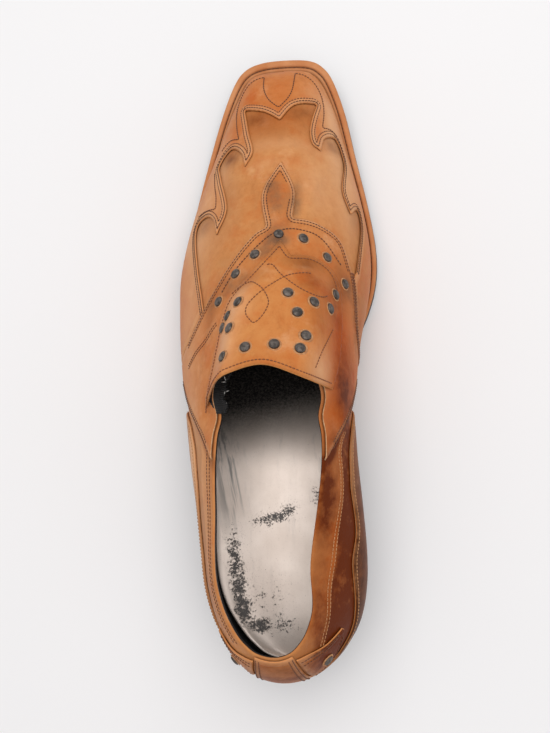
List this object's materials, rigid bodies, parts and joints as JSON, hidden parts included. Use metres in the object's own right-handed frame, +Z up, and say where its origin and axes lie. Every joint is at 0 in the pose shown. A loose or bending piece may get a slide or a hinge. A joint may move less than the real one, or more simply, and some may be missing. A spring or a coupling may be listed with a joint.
{
  "type": "square-toe loafer",
  "caption": "Slip-on square-toe leather loafer with a scrolled toe overlay, a studded saddle flap over the instep, a welted sole and a stacked heel.",
  "frame": {"origin": "centre of the bounding box on the floor under the sole", "axes": "+Y from the heel to the toe, +X to the medial side, +Z up"},
  "size_m": [0.1045, 0.3142, 0.1041],
  "materials": {
    "sole": "dark dyed edge",
    "heel": "stacked and dyed dark",
    "lift": "matt",
    "welt": "waxed",
    "insole": "worn silver foil",
    "upper": "antiqued tan",
    "overlay": "antiqued tan",
    "saddle": "antiqued tan",
    "counter": "burnished brown",
    "stud": "dark pewter"
  },
  "bodies": {
    "root": {"apron": "overlay", "back_strap": "overlay", "counter": "counter", "heel_block": "heel", "heel_scroll_lat": "overlay", "heel_scroll_med": "overlay", "heel_stud_0": "stud", "heel_stud_1": "stud", "insole": "insole", "outsole": "sole", "saddle": "saddle", "stud_00": "stud", "stud_01": "stud", "stud_02": "stud", "stud_03": "stud", "stud_04": "stud", "stud_05": "stud", "stud_06": "stud", "stud_07": "stud", "stud_08": "stud", "stud_09": "stud", "stud_10": "stud", "stud_11": "stud", "stud_12": "stud", "stud_13": "stud", "stud_14": "stud", "stud_15": "stud", "stud_16": "stud", "stud_17": "stud", "stud_18": "stud", "stud_19": "stud", "stud_20": "stud", "toe_wing": "overlay", "top_lift": "lift", "upper": "upper", "welt": "welt"}
  },
  "joints": []
}
